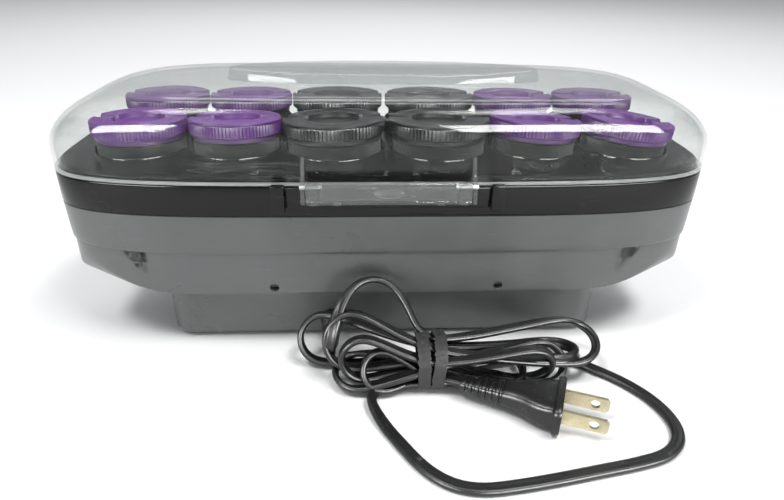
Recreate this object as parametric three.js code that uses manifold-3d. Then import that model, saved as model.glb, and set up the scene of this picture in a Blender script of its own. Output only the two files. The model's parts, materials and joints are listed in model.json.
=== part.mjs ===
// Heated hair-roller set: twelve flocked rollers on heated posts in a stepped plastic case, under a
// clear hinged lid with a front latch, and a flat two-core mains cord tied up in a hank.
// Millimetres. +Z is up, the front of the case looks along -Y, and the feet stand on Z = 0.
import * as THREE from 'three';
import { mergeVertices } from 'three/addons/utils/BufferGeometryUtils.js';
import Module from 'manifold-3d';

const wasm = await Module();
wasm.setup();

// ---------- driving dimensions ----------
const GAP = 0.3; // air between pieces that touch
const WALL = 1.8; // case wall
const LID_WALL = 1.6;

const RIM_X = 147.4; // half length of the case at the seam
const RIM_Y = 48.8; // half depth of the case at the seam
const RIM_POWER = 4.2; // superellipse power of the plan outline

const FOOT_H = 1.5; // how far the rubber feet stand proud
const BELLY_Z = 29; // underside of the belly
const LEDGE_Z = 50; // step between the belly and the upper band
const BAND_Z = 68.3; // top rim of the grey housing
const SEAM_Z = 82; // tray flange that the lid sits on
const FLOOR_Z = 85; // tray floor
const LIP_Z = 86; // top of the tray lip inside the lid
const COLLAR_Z = 92; // top of the round collars
const CAP_Z = COLLAR_Z + 12; // top of an upright roller
const CROWN_Z = 118; // crown of the lid
const OVAL_Z = 121; // raised oval on the lid

const PEDESTAL_X = 103.5;
const PEDESTAL_Y = 38;
const PEDESTAL_R = 11;

// the four quarters of the plan, and what stands in each
const QUARTERS = [[1, 1], [1, -1], [-1, 1], [-1, -1]];
const SCREW_R = 1.5;
const SCREW_SPOTS = QUARTERS.map(([x, y]) => [x * 72, y * 10]);
const FOOT_R = 6;
const FOOT_SPOTS = QUARTERS.map(([x, y]) => [x * 88, y * 24]);
// blind screw pockets in the front of the belly
const DIMPLE_X = 51;
const DIMPLE_Z = 32.4;
const DIMPLE_R = 2.1;

// rollers: two sizes, six columns, two rows
const LARGE = { cap: 22.2, barrel: 20.3, colour: 0x1b1c1d };
const SMALL = { cap: 19.85, barrel: 18.1, colour: 0x6d3b86 };
const COLUMN_X = [-106.5, -65.6, -23, 23, 65.6, 106.5];
const ROW_Y = 22.6;
// degrees that the loose rollers lean back and sideways in their collars, left to right
const LEAN = { front: [2.5, 5.5, 4, 4, 5.5, 2.5], back: [2.5, 3.5, 3.5, 3.5, 3.5, 2.5] };
const TILT = { front: [0, 0, -1.3, 0, 3, 6], back: [0, 0, 0, 0, 0, 0] };
const COLLAR_WALL = 0.8;
const COLLAR_PLAY = 1.4; // barrel to collar
const BARREL_WALL = 2.3;
const RIM_H = 5.9; // ribbed rim of a cap
const SHOULDER_H = 2.3;
const ROLLER_H = 50;
const RECESS_SHARE = 0.54; // recess in a cap's top, as a share of its radius
const RECESS_DEPTH = 2.6;
const SLOT_W = 5.2; // slots from the recess out to the rim
const SLOT_DEPTH = 1.5;
const PIVOT_Z = COLLAR_Z - 2; // height that a loose roller rocks about
const POST_R = 7.5;
const POST_Z = 80;

// hinge at the back and latch at the front
const HINGE_Y = RIM_Y + 4.6;
const HINGE_Z = SEAM_Z + 2.2;
const HINGE_X = 70;
const HINGE_PIN_R = 1.3;
const KNUCKLE_R = 3;
const KNUCKLE_W = 16;
const LUG_W = 4;
const LATCH_Y = -(RIM_Y + 4.8);
const LATCH_Z = SEAM_Z + 1.8;
const LATCH_X = 34.1; // half length of the latch bar
const LATCH_PIN_R = 1;
const LATCH_BOTTOM = SEAM_Z - 5.4;
const LATCH_TOP = SEAM_Z + 4;
const EAR_W = 1.6;
const PAD_X = 48.5; // half length of the black catch pad
const PAD_Y = -(RIM_Y + 1.2);

// heater
const PLATE_Z = 49.3;
const PLATE_H = 2.2;
const PLATE = { halfX: 118, halfY: 34, corner: 14 };

// cord
const CORD_W = 5.3;
const CORD_H = 2.8;
const EXIT_X = -26;
const EXIT_Z = 10;
const EXIT_HOLE_R = 4.2;
const HANK = { x0: -17, x1: 86, y: -68, r: 12, z0: 1.8, z1: 20 };
const TIE = { x0: 13, x1: 22.5, wall: 0.9 };
const PLUG = { x: 69, y: -99.6, z: 7.4, turn: -22 };

const ROUND = 20; // sides of a roller
const PLAN_STEPS = 48;

// ---------- materials ----------
const surface = (color, roughness, metalness) => (
  new THREE.MeshStandardMaterial({ color, roughness, metalness })
);
const plastic = (color, roughness = 0.4) => surface(color, roughness, 0);
const metal = (color, roughness = 0.3) => surface(color, roughness, 1);
const grey = plastic(0x66696a, 0.35);
const gloss = plastic(0x0b0b0c, 0.12);
const flock = plastic(0x1c211c, 0.95);
const rubber = plastic(0x151515, 0.6);
const clear = new THREE.MeshStandardMaterial({
  color: 0xc9ccca, roughness: 0.05, metalness: 0, transparent: true, opacity: 0.35,
});
const steel = metal(0xb8babb);
const aluminium = metal(0xc4c6c8, 0.45);
const blade = metal(0xc9b98c, 0.35);

// ---------- solids ----------
function toSolid(geometry) {
  const g = geometry.clone();
  g.deleteAttribute('normal');
  g.deleteAttribute('uv');
  const m = mergeVertices(g, 1e-4);
  const triVerts = new Uint32Array(m.index.array);
  const vertProperties = new Float32Array(m.attributes.position.array);
  return new wasm.Manifold(new wasm.Mesh({ numProp: 3, vertProperties, triVerts }));
}

function toGeometry(solid) {
  const m = solid.getMesh();
  const g = new THREE.BufferGeometry();
  g.setAttribute('position', new THREE.BufferAttribute(new Float32Array(m.vertProperties), 3));
  g.setIndex(new THREE.BufferAttribute(new Uint32Array(m.triVerts), 1));
  g.computeVertexNormals();
  return g;
}

const join = (first, ...rest) => rest.reduce((a, b) => a.add(b), first);
const cut = (first, ...rest) => rest.reduce((a, b) => a.subtract(b), first);
const common = (first, ...rest) => rest.reduce((a, b) => a.intersect(b), first);

function slab(shape, z0, z1) {
  const g = new THREE.ExtrudeGeometry(shape, { depth: z1 - z0, bevelEnabled: false, curveSegments: 12 });
  return toSolid(g.translate(0, 0, z0));
}

// a profile in (y, z) drawn along X
function alongX(shape, x0, x1) {
  const g = new THREE.ExtrudeGeometry(shape, { depth: x1 - x0, bevelEnabled: false, curveSegments: 10 });
  g.rotateX(Math.PI / 2);
  g.rotateZ(Math.PI / 2);
  return toSolid(g.translate(x0, 0, 0));
}

// a profile in (x, z) drawn along Y
function alongY(shape, y0, y1) {
  const g = new THREE.ExtrudeGeometry(shape, { depth: y1 - y0, bevelEnabled: false, curveSegments: 10 });
  g.rotateX(Math.PI / 2);
  return toSolid(g.translate(0, y1, 0));
}

function box(x0, x1, y0, y1, z0, z1) {
  const g = new THREE.BoxGeometry(x1 - x0, y1 - y0, z1 - z0);
  return toSolid(g.translate((x0 + x1) / 2, (y0 + y1) / 2, (z0 + z1) / 2));
}

// upright round solid from [radius, height] pairs that start and end on the axis or close
function turned(profile, sides = ROUND) {
  const points = profile.map(([r, z]) => new THREE.Vector2(r, z));
  const g = new THREE.LatheGeometry(points, sides);
  g.rotateX(Math.PI / 2);
  return g;
}

const rod = (r, z0, z1, sides = 14) => turned([[0, z0], [r, z0], [r, z1], [0, z1]], sides);
const uprightRod = (x, y, r, z0, z1, sides = 14) => toSolid(rod(r, z0, z1, sides).translate(x, y, 0));

function rodX(x0, x1, y, z, r, sides = 12) {
  const g = rod(r, 0, x1 - x0, sides);
  g.rotateY(Math.PI / 2);
  return toSolid(g.translate(x0, y, z));
}

const polygon = (points) => new THREE.Shape(points.map(([x, y]) => new THREE.Vector2(x, y)));

function superellipse(a, b, power = RIM_POWER) {
  const points = [];
  for (let i = 0; i < PLAN_STEPS; i += 1) {
    const t = (i / PLAN_STEPS) * 2 * Math.PI;
    const [x, y] = [Math.cos(t), Math.sin(t)].map((c) => Math.sign(c) * Math.abs(c) ** (2 / power));
    points.push([a * x, b * y]);
  }
  return polygon(points);
}

function roundedRectangle(a, b, r) {
  const s = new THREE.Shape();
  s.absarc(a - r, b - r, r, 0, Math.PI / 2);
  s.absarc(r - a, b - r, r, Math.PI / 2, Math.PI);
  s.absarc(r - a, r - b, r, Math.PI, Math.PI * 1.5);
  s.absarc(a - r, r - b, r, Math.PI * 1.5, Math.PI * 2);
  return s;
}

function ellipse(a, b, height = 0) {
  const s = new THREE.Shape();
  s.absellipse(0, height, a, b, 0, Math.PI * 2);
  return s;
}

// ---------- the set ----------
const set = new THREE.Group();

function place(name, piece, material, parent = set) {
  const geometry = piece.isBufferGeometry ? piece : toGeometry(piece);
  const mesh = new THREE.Mesh(geometry, material);
  mesh.name = name;
  parent.add(mesh);
  return mesh;
}

// ---------- grey housing ----------
// a boat-ended profile: vertical ends with round lower corners
function boat(halfLength, z0, z1, r) {
  const s = new THREE.Shape();
  s.moveTo(-halfLength, z1);
  s.lineTo(-halfLength, z0 + r);
  s.absarc(r - halfLength, z0 + r, r, Math.PI, Math.PI * 1.5);
  s.absarc(halfLength - r, z0 + r, r, Math.PI * 1.5, Math.PI * 2);
  s.lineTo(halfLength, z1);
  return s;
}

const CORNER_TURN = 34; // degrees between a hull corner's facet and the case's length
const CORNER_RISE = 24; // height over which the facet dies into the band
// a long block, turned to a corner, whose lower outer edge is the round facet of the hull
function cornerBlock(sideX, sideY, inset) {
  const turn = THREE.MathUtils.degToRad(CORNER_TURN);
  const reach = Math.sin(turn) * 126 + Math.cos(turn) * (RIM_Y - 6) - inset;
  const s = new THREE.Shape();
  s.moveTo(reach, LEDGE_Z + 30);
  s.lineTo(reach, BELLY_Z + inset + CORNER_RISE);
  s.absellipse(reach - CORNER_RISE * 0.6, BELLY_Z + inset + CORNER_RISE, CORNER_RISE * 0.6, CORNER_RISE,
    0, -Math.PI / 2, true);
  s.lineTo(-320, BELLY_Z + inset);
  s.lineTo(-320, LEDGE_Z + 30);
  const g = new THREE.ExtrudeGeometry(s, { depth: 600, bevelEnabled: false, curveSegments: 5 });
  g.translate(0, 0, -300);
  g.rotateX(Math.PI / 2);
  const angle = Math.atan2(sideY * Math.cos(turn), sideX * Math.sin(turn));
  return toSolid(g.rotateZ(angle));
}

const BAND_STEP = 0.4; // housing rim inside the tray band
const BAND_DRAFT = 1.4; // foot of the band inside the seam outline
const BELLY_STEP = 2.2; // belly inside the seam outline
function bandSolid(inset, top) {
  const outer = slab(superellipse(RIM_X - inset, RIM_Y - BAND_STEP - inset), LEDGE_Z + inset * 0.5, top);
  const lower = RIM_Y - BAND_DRAFT - inset;
  const upper = RIM_Y - BAND_STEP - inset;
  const slope = polygon([[-lower, LEDGE_Z], [lower, LEDGE_Z], [upper, BAND_Z], [upper, top],
    [-upper, top], [-upper, BAND_Z]]);
  return common(outer, alongX(slope, -200, 200));
}

function bellySolid(inset, top) {
  const plan = slab(superellipse(RIM_X - 1 - inset, RIM_Y - BELLY_STEP - inset), BELLY_Z + inset, top);
  const ends = alongY(boat(RIM_X - 1 - inset, BELLY_Z + inset, top + 1, 15 - inset), -80, 80);
  const corners = QUARTERS.map(([x, y]) => cornerBlock(x, y, inset));
  return common(plan, ends, ...corners);
}

function housing() {
  const outer = join(bandSolid(0, BAND_Z), bellySolid(0, LEDGE_Z + 3));
  const inner = join(bandSolid(WALL, BAND_Z + 5), bellySolid(WALL, LEDGE_Z + 8));
  let shell = cut(outer, inner);
  for (const [x, y] of SCREW_SPOTS) {
    shell = join(shell, uprightRod(x, y, 4, BELLY_Z + 1, PLATE_Z - GAP));
    shell = cut(shell, uprightRod(x, y, SCREW_R + GAP, BELLY_Z - 1, PLATE_Z + 1));
  }
  // two blind screw pockets low on the front
  for (const x of [-DIMPLE_X, DIMPLE_X]) {
    const face = BELLY_STEP - RIM_Y;
    const boss = box(x - 4, x + 4, face + 1, face + 6, BELLY_Z + 1, DIMPLE_Z + 4);
    const hole = rod(DIMPLE_R, 0, 5, 16).rotateX(Math.PI / 2);
    shell = cut(join(shell, boss), toSolid(hole.translate(x, face + 4, DIMPLE_Z)));
  }
  return cut(shell, box(-52, -22, -12, 12, BELLY_Z - 1, BELLY_Z + WALL + 1));
}
place('base_housing', housing(), grey);

// ---------- pedestal, screws and feet ----------
const PEDESTAL_TOP = BELLY_Z - GAP;
const HEAD_Z = FOOT_H + 4;
function pedestal() {
  const bevel = 3;
  const plan = roundedRectangle(PEDESTAL_X - bevel, PEDESTAL_Y - bevel, PEDESTAL_R - bevel);
  const options = { depth: 40, bevelThickness: bevel, bevelSize: bevel, bevelSegments: 2, curveSegments: 4 };
  const g = new THREE.ExtrudeGeometry(plan, options);
  const block = toSolid(g.translate(0, 0, FOOT_H + bevel));
  const outer = cut(block, box(-200, 200, -100, 100, PEDESTAL_TOP, 90));
  const hollow = roundedRectangle(PEDESTAL_X - WALL, PEDESTAL_Y - WALL, PEDESTAL_R - WALL);
  let shell = cut(outer, slab(hollow, FOOT_H + bevel, 60));
  for (const [x, y] of SCREW_SPOTS) {
    shell = join(shell, uprightRod(x, y, 5, FOOT_H + 1, PEDESTAL_TOP));
    shell = cut(shell, uprightRod(x, y, SCREW_R + GAP, 0, 60), uprightRod(x, y, 3.6, 0, HEAD_Z));
  }
  for (const [x, y] of FOOT_SPOTS) {
    shell = cut(shell, uprightRod(x, y, FOOT_R + GAP, 0, FOOT_H + 1));
  }
  const exit = rod(EXIT_HOLE_R, 0, 10, 16).rotateX(Math.PI / 2);
  return cut(shell, toSolid(exit.translate(EXIT_X, -PEDESTAL_Y + 8, EXIT_Z)));
}
place('pedestal', pedestal(), grey);

SCREW_SPOTS.forEach(([x, y], i) => {
  const z = HEAD_Z - GAP;
  const tip = PLATE_Z - 2;
  const profile = [[0, z - 2.6], [3.2, z - 2.6], [3.2, z], [SCREW_R, z], [SCREW_R, tip], [0, tip]];
  place(`case_screw_${i + 1}`, turned(profile, 12).translate(x, y, 0), steel);
});
FOOT_SPOTS.forEach(([x, y], i) => {
  place(`foot_${i + 1}`, rod(FOOT_R, 0, FOOT_H + 1 - GAP, 16).translate(x, y, 0), rubber);
});

// ---------- tray ----------
const rollers = [];
for (const [row, sideY] of [['front', -1], ['back', 1]]) {
  COLUMN_X.forEach((x, i) => {
    const size = i === 2 || i === 3 ? LARGE : SMALL;
    const turn = { lean: LEAN[row][i], tilt: TILT[row][i] };
    rollers.push({ name: `${row}_${i + 1}`, x, y: sideY * ROW_Y, size, ...turn });
  });
}

function tray() {
  const FLANGE = LID_WALL + 0.5;
  const outer = join(
    slab(superellipse(RIM_X, RIM_Y), BAND_Z + GAP, SEAM_Z),
    slab(superellipse(RIM_X - FLANGE, RIM_Y - FLANGE), SEAM_Z - 1, LIP_Z),
  );
  let body = cut(
    outer,
    slab(superellipse(RIM_X - WALL, RIM_Y - WALL), BAND_Z - 5, SEAM_Z - 2),
    slab(superellipse(RIM_X - FLANGE - WALL, RIM_Y - FLANGE - WALL), SEAM_Z - 3, FLOOR_Z - 2),
    slab(superellipse(RIM_X - FLANGE - 1.6, RIM_Y - FLANGE - 1.6), FLOOR_Z, LIP_Z + 5),
  );
  for (const { x, y, size } of rollers) {
    const r = size.barrel + COLLAR_PLAY + COLLAR_WALL;
    body = join(body, uprightRod(x, y, r, FLOOR_Z - 1, COLLAR_Z, ROUND));
  }
  for (const { x, y, size } of rollers) {
    body = cut(body, uprightRod(x, y, size.barrel + COLLAR_PLAY, FLOOR_Z - 8, COLLAR_Z + 5, ROUND));
  }
  // catch pad with an end lug each side and a keeper ridge for the latch
  const lugTop = SEAM_Z + 1.5;
  body = join(body, box(-PAD_X, PAD_X, PAD_Y, -RIM_Y + 1, SEAM_Z - 9, SEAM_Z));
  body = join(body, box(-30, 30, PAD_Y - 0.7, PAD_Y + 0.2, SEAM_Z - 3, SEAM_Z - 1.6));
  for (const side of [-1, 1]) {
    const x0 = side < 0 ? -PAD_X : PAD_X - 5.5;
    body = join(body, box(x0, x0 + 5.5, PAD_Y - 2.4, PAD_Y + 0.5, SEAM_Z - 10, SEAM_Z - 0.1));
    body = join(body, box(x0, x0 + 5.5, PAD_Y - 2.4, PAD_Y + 0.5, SEAM_Z - 1, lugTop));
  }
  // hinge lugs behind
  for (const side of [-HINGE_X, HINGE_X]) {
    for (const x0 of [side - KNUCKLE_W / 2 - GAP - LUG_W, side + KNUCKLE_W / 2 + GAP]) {
      const foot = polygon([[RIM_Y - 1.5, SEAM_Z - 9], [RIM_Y + 1, SEAM_Z - 9],
        [HINGE_Y + KNUCKLE_R, HINGE_Z - 2], [HINGE_Y + KNUCKLE_R, HINGE_Z], [HINGE_Y - KNUCKLE_R, HINGE_Z],
        [RIM_Y + 0.6, SEAM_Z - 0.2], [RIM_Y - 1.5, SEAM_Z - 0.2]]);
      const eye = rodX(x0, x0 + LUG_W, HINGE_Y, HINGE_Z, KNUCKLE_R);
      body = join(body, alongX(foot, x0, x0 + LUG_W), eye);
    }
    body = cut(body, rodX(side - 20, side + 20, HINGE_Y, HINGE_Z, HINGE_PIN_R + GAP));
  }
  return body;
}
place('roller_tray', tray(), gloss);

// ---------- lid ----------
// The lid is a stack of plan outlines, each a share of the seam's. An end profile along X and a side
// profile along Y give its height, and the two blend round the corners.
const LID_END = { run: 40, foot: 90, shoulder: 115.3 };
const LID_SIDE = { run: 11, foot: 101.6, shoulder: 115.8 };
const LID_BLEND = 3.6; // the higher, the closer the corners keep to the side profile
const LID_FLAT = 0.735; // share of the plan at which the shoulders end
function lidHeight(half, { run, foot, shoulder }, share, inset) {
  const flat = half - run;
  const at = (half - inset) * share;
  if (at <= flat) return CROWN_Z - inset - (CROWN_Z - shoulder) * (at / flat) ** 2;
  const across = (at - flat) / (run - inset);
  return foot + (shoulder - inset - foot) * Math.sqrt(Math.max(0, 1 - across * across));
}

function lidOutline(share, inset, height) {
  const points = [];
  const power = RIM_POWER - 0.3 * (1 - share);
  for (let i = 0; i < PLAN_STEPS; i += 1) {
    const t = (i / PLAN_STEPS) * 2 * Math.PI;
    const [x, y] = [Math.cos(t), Math.sin(t)].map((c) => Math.sign(c) * Math.abs(c) ** (2 / power));
    const end = lidHeight(RIM_X, LID_END, share, inset);
    const side = lidHeight(RIM_Y, LID_SIDE, share, inset);
    const z = side + (end - side) * Math.abs(Math.cos(t)) ** LID_BLEND;
    points.push((RIM_X - inset) * share * x, (RIM_Y - inset) * share * y, height ?? z);
  }
  return points;
}

function dome(inset, bottom) {
  const shares = [1];
  for (let i = 1; i <= 8; i += 1) {
    shares.push(1 - (1 - LID_FLAT) * (1 - Math.cos((i / 8) * (Math.PI / 2))));
  }
  const upper = [...shares, 0.5, 0.25].map((share) => lidOutline(share, inset));
  const rings = [lidOutline(1, inset, bottom), ...upper];
  const corners = [...rings.flat(), 0, 0, bottom, 0, 0, CROWN_Z - inset];
  const faces = [];
  const last = rings.length * PLAN_STEPS;
  for (let i = 0; i < PLAN_STEPS; i += 1) {
    const next = (i + 1) % PLAN_STEPS;
    faces.push(last, next, i);
    faces.push(last + 1, last - PLAN_STEPS + i, last - PLAN_STEPS + next);
    for (let row = 0; row < last - PLAN_STEPS; row += PLAN_STEPS) {
      faces.push(row + i, row + next, row + PLAN_STEPS + next);
      faces.push(row + i, row + PLAN_STEPS + next, row + PLAN_STEPS + i);
    }
  }
  const g = new THREE.BufferGeometry();
  g.setAttribute('position', new THREE.Float32BufferAttribute(corners, 3));
  g.setIndex(faces);
  return toSolid(g);
}

function latchEar(x0) {
  const back = -RIM_Y + 0.6;
  const clearOfPad = PAD_Y - 0.6;
  const profile = polygon([[back, SEAM_Z + 13], [LATCH_Y + 2, SEAM_Z + 6], [LATCH_Y - 2.4, SEAM_Z + 4.2],
    [LATCH_Y - 2.4, LATCH_BOTTOM + 0.4], [clearOfPad, LATCH_BOTTOM + 0.4], [clearOfPad, SEAM_Z + GAP],
    [back, SEAM_Z + GAP]]);
  return alongX(profile, x0, x0 + EAR_W);
}

function lid() {
  const bottom = SEAM_Z + GAP;
  const oval = slab(ellipse(70, 17.5), CROWN_Z - 5, OVAL_Z);
  const ovalInside = slab(ellipse(68, 15.5), CROWN_Z - 11, OVAL_Z - LID_WALL);
  let shell = cut(join(dome(0, bottom), oval), dome(LID_WALL, bottom - 5), ovalInside);
  for (const x0 of [-LATCH_X - GAP - EAR_W, LATCH_X + GAP]) {
    shell = join(shell, latchEar(x0));
  }
  shell = cut(shell, rodX(-50, 50, LATCH_Y, LATCH_Z, LATCH_PIN_R + GAP, 12));
  for (const side of [-HINGE_X, HINGE_X]) {
    const block = polygon([[RIM_Y - 1, bottom], [HINGE_Y, bottom], [HINGE_Y, HINGE_Z + KNUCKLE_R],
      [RIM_Y - 1, HINGE_Z + KNUCKLE_R]]);
    const x0 = side - KNUCKLE_W / 2;
    const knuckle = rodX(x0, x0 + KNUCKLE_W, HINGE_Y, HINGE_Z, KNUCKLE_R);
    shell = join(shell, alongX(block, x0, x0 + KNUCKLE_W), knuckle);
    shell = cut(shell, rodX(side - 20, side + 20, HINGE_Y, HINGE_Z, HINGE_PIN_R + GAP));
  }
  return shell;
}
place('lid', lid(), clear);

for (const [name, x] of [['left', -HINGE_X], ['right', HINGE_X]]) {
  const half = KNUCKLE_W / 2 + GAP + LUG_W;
  place(`hinge_pin_${name}`, rodX(x - half, x + half, HINGE_Y, HINGE_Z, HINGE_PIN_R, 12), steel);
}

// ---------- latch ----------
function latchBar() {
  const front = LATCH_Y - 2;
  const back = LATCH_Y + 1.4;
  const hook = PAD_Y - 1;
  const profile = polygon([[front, LATCH_BOTTOM], [hook, LATCH_BOTTOM], [hook, LATCH_BOTTOM + 1.4],
    [back, LATCH_BOTTOM + 2.4], [back, LATCH_TOP - 0.8], [back - 0.8, LATCH_TOP], [front + 0.8, LATCH_TOP],
    [front, LATCH_TOP - 0.8]]);
  let bar = alongX(profile, -LATCH_X, LATCH_X);
  bar = cut(bar, box(-26.5, 26.5, front - 1, front + 0.6, LATCH_BOTTOM + 1.2, LATCH_TOP - 1.4));
  const middle = (LATCH_BOTTOM + LATCH_TOP) / 2 - 0.2;
  bar = join(bar, alongY(ellipse(5.8, 1.4, middle), front, front + 1.1));
  for (const x0 of [-LATCH_X - 1, LATCH_X - 7.2]) {
    bar = cut(bar, rodX(x0, x0 + 8.2, LATCH_Y, LATCH_Z, LATCH_PIN_R + GAP, 12));
  }
  return bar;
}
place('latch_bar', latchBar(), clear);
for (const [name, side] of [['left', -1], ['right', 1]]) {
  const inner = side * (LATCH_X - 6.8);
  const outer = side * (LATCH_X + GAP + EAR_W + 0.4);
  const pin = rodX(Math.min(inner, outer), Math.max(inner, outer), LATCH_Y, LATCH_Z, LATCH_PIN_R, 12);
  place(`latch_pin_${name}`, pin, steel);
}

// ---------- heater ----------
function heaterPlate() {
  let plate = slab(roundedRectangle(PLATE.halfX, PLATE.halfY, PLATE.corner), PLATE_Z, PLATE_Z + PLATE_H);
  for (const { x, y } of rollers) {
    plate = join(plate, uprightRod(x, y, POST_R, PLATE_Z + 1, POST_Z, 12));
  }
  return plate;
}
place('heater_plate', heaterPlate(), aluminium);

const round = (r, sides) => {
  const points = [];
  for (let i = 0; i < sides; i += 1) {
    const t = ((i + 0.5) / sides) * 2 * Math.PI;
    points.push([r * Math.cos(t), r * Math.sin(t)]);
  }
  return polygon(points);
};

function tube(section, points, steps) {
  const path = new THREE.CatmullRomCurve3(points.map((p) => new THREE.Vector3(...p)), false, 'catmullrom');
  return new THREE.ExtrudeGeometry(section, { steps, bevelEnabled: false, extrudePath: path });
}

const ELEMENT_Z = PLATE_Z - 3;
const elementRoute = [[-98, -23], [0, -23], [86, -23], [103, -16], [109, 0], [103, 16], [86, 23], [0, 23],
  [-98, 23]].map(([x, y]) => [x, y, ELEMENT_Z]);
place('heating_element', tube(round(2.4, 8), elementRoute, 24), steel);

const thermostat = [[0, PLATE_Z - 8], [8, PLATE_Z - 8], [8, PLATE_Z - 1.6], [5, PLATE_Z - 1.6],
  [5, PLATE_Z - GAP], [0, PLATE_Z - GAP]];
place('thermostat', turned(thermostat, 20), steel);

const BLOCK = { x: -26, y: -6, z: 5, length: 26, depth: 12, height: 11 };
function terminalBlock() {
  const { x, y, z, length, depth, height } = BLOCK;
  let block = box(x - length / 2, x + length / 2, y - depth / 2, y + depth / 2, z, z + height);
  for (const dx of [-6, 6]) {
    block = cut(block, uprightRod(x + dx, y, 2.4, z + 6, z + height + 1, 12));
  }
  return block;
}
place('terminal_block', terminalBlock(), plastic(0xd9d6c8, 0.5));

for (const [name, side] of [['live', -1], ['neutral', 1]]) {
  const top = BELLY_Z + WALL + 2.6;
  const route = [[BLOCK.x - 7, BLOCK.y + side * 2.5, BLOCK.z + BLOCK.height + 2], [-36, side * 5, 23],
    [-40, side * 7, 29], [-45, side * 9, top], [-54, side * 15.5, top], [-64, side * 17.4, top],
    [-88, side * 17.4, top], [-98, side * 18.5, top + 2], [-103, side * 20.5, PLATE_Z - 5]];
  const colour = side < 0 ? 0x8c1d18 : 0xd8d8d2;
  place(`heater_wire_${name}`, tube(round(1.2, 8), route, 18), plastic(colour, 0.5));
}

// ---------- rollers ----------
for (const { name, x, y, size, lean, tilt } of rollers) {
  const roller = new THREE.Group();
  roller.position.set(x, y, PIVOT_Z);
  roller.rotation.set(THREE.MathUtils.degToRad(-lean), THREE.MathUtils.degToRad(tilt), 0, 'YXZ');
  set.add(roller);
  const top = CAP_Z - PIVOT_Z;
  const inside = size.barrel - BARREL_WALL;
  const recess = size.cap * RECESS_SHARE;
  const under = top - RIM_H - SHOULDER_H;
  const shoulder = size.barrel + 0.3;
  const dish = top - RECESS_DEPTH;
  const capProfile = [[0, under - 3], [inside - GAP, under - 3], [inside - GAP, under], [shoulder, under],
    [shoulder, top - RIM_H], [size.cap, top - RIM_H], [size.cap, top], [recess, top], [recess - 0.8, dish],
    [0, dish]];
  let cap = toSolid(turned(capProfile));
  for (const side of [-1, 1]) {
    const x0 = side < 0 ? -size.cap - 1 : recess - 2;
    const x1 = x0 + size.cap + 3 - recess;
    cap = cut(cap, box(x0, x1, 0, SLOT_W, top - SLOT_DEPTH, top + 1));
  }
  place(`roller_cap_${name}`, cap, plastic(size.colour, 0.32), roller);
  const start = under - GAP;
  const end = start - ROLLER_H + RIM_H + SHOULDER_H - 0.2;
  const outer = size.barrel;
  const barrelProfile = [[inside, end], [outer, end], [outer, start], [inside, start], [inside, end]];
  place(`roller_barrel_${name}`, turned(barrelProfile), flock, roller);
}

// ---------- cord, strain relief, hank, tie and plug ----------
// eight-sided flat section
function flat(width, height) {
  const w = width / 2;
  const h = height / 2;
  const c = Math.min(w, h) * 0.7;
  const upper = [[w, h - c], [w - c, h], [c - w, h], [-w, h - c]];
  return polygon([...upper, ...upper.map(([x, y]) => [-x, -y])]);
}

const EXIT_Y = -PEDESTAL_Y;
const RELIEF_TIP = EXIT_Y - 22;
const NECK_R = EXIT_HOLE_R - GAP;
const RELIEF_END = RELIEF_TIP - EXIT_Y;
const reliefProfile = [
  [0, RELIEF_END], [3.3, RELIEF_END], [4.6, -3.4], [5.4, -2.4], [5.4, -GAP], [NECK_R, -GAP],
  [NECK_R, 2.6], [5.4, 2.6], [5.4, 5], [0, 5]];
const relief = turned(reliefProfile, 14);
relief.rotateX(-Math.PI / 2);
place('cord_strain_relief', relief.translate(EXIT_X, EXIT_Y, EXIT_Z), rubber);

const tailRoute = [[EXIT_X, EXIT_Y + 5.3, EXIT_Z], [EXIT_X, EXIT_Y + 15, EXIT_Z],
  [BLOCK.x, BLOCK.y - BLOCK.depth / 2 - GAP, EXIT_Z]];
place('supply_tail', tube(flat(CORD_H, CORD_W), tailRoute, 6), rubber);

const leadRoute = [[EXIT_X, RELIEF_TIP - GAP, EXIT_Z], [EXIT_X, RELIEF_TIP - 4, EXIT_Z],
  [EXIT_X, RELIEF_TIP - 8.6, EXIT_Z + 1.8], [EXIT_X + 0.5, RELIEF_TIP - 11.4, EXIT_Z + 7],
  [EXIT_X + 2, RELIEF_TIP - 8.7, EXIT_Z + 15], [EXIT_X + 6.5, RELIEF_TIP + 0.3, EXIT_Z + 24],
  [EXIT_X + 13, RELIEF_TIP + 7.3, EXIT_Z + 28.6], [EXIT_X + 22, RELIEF_TIP + 8.7, EXIT_Z + 29.6],
  [EXIT_X + 29.5, RELIEF_TIP + 6.3, EXIT_Z + 26], [EXIT_X + 33.5, RELIEF_TIP + 0.8, EXIT_Z + 19.5],
  [EXIT_X + 34.5, RELIEF_TIP - 5, HANK.z1 + 1.8]];
place('cord_lead', tube(flat(CORD_W, CORD_H), leadRoute, 18), rubber);

function hankSolid() {
  const s = new THREE.Shape();
  s.absarc(HANK.x1 - HANK.r, HANK.y, HANK.r, -Math.PI / 2, Math.PI / 2);
  s.absarc(HANK.x0 + HANK.r, HANK.y, HANK.r, Math.PI / 2, Math.PI * 1.5);
  return slab(s, HANK.z0, HANK.z1);
}
place('cord_hank', hankSolid(), rubber);

const LOOP_Z = CORD_H / 2 + 0.15;
const loopRoute = [[-3, HANK.y - HANK.r - GAP], [-2.5, -90], [-1, -100], [4, -114], [11.5, -125], [20, -132],
  [30, -134.6], [41, -133.8], [57, -131.3], [74, -128], [92, -124.4], [104.5, -120.4], [112, -113],
  [114, -103.5], [111, -91], [103, -79], [94, -70.5],
  [HANK.x1 + 1.7, -66.5]].map(([x, y]) => [x, y, LOOP_Z]);
place('cord_loop', tube(flat(CORD_H, CORD_W), loopRoute, 36), rubber);

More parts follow.
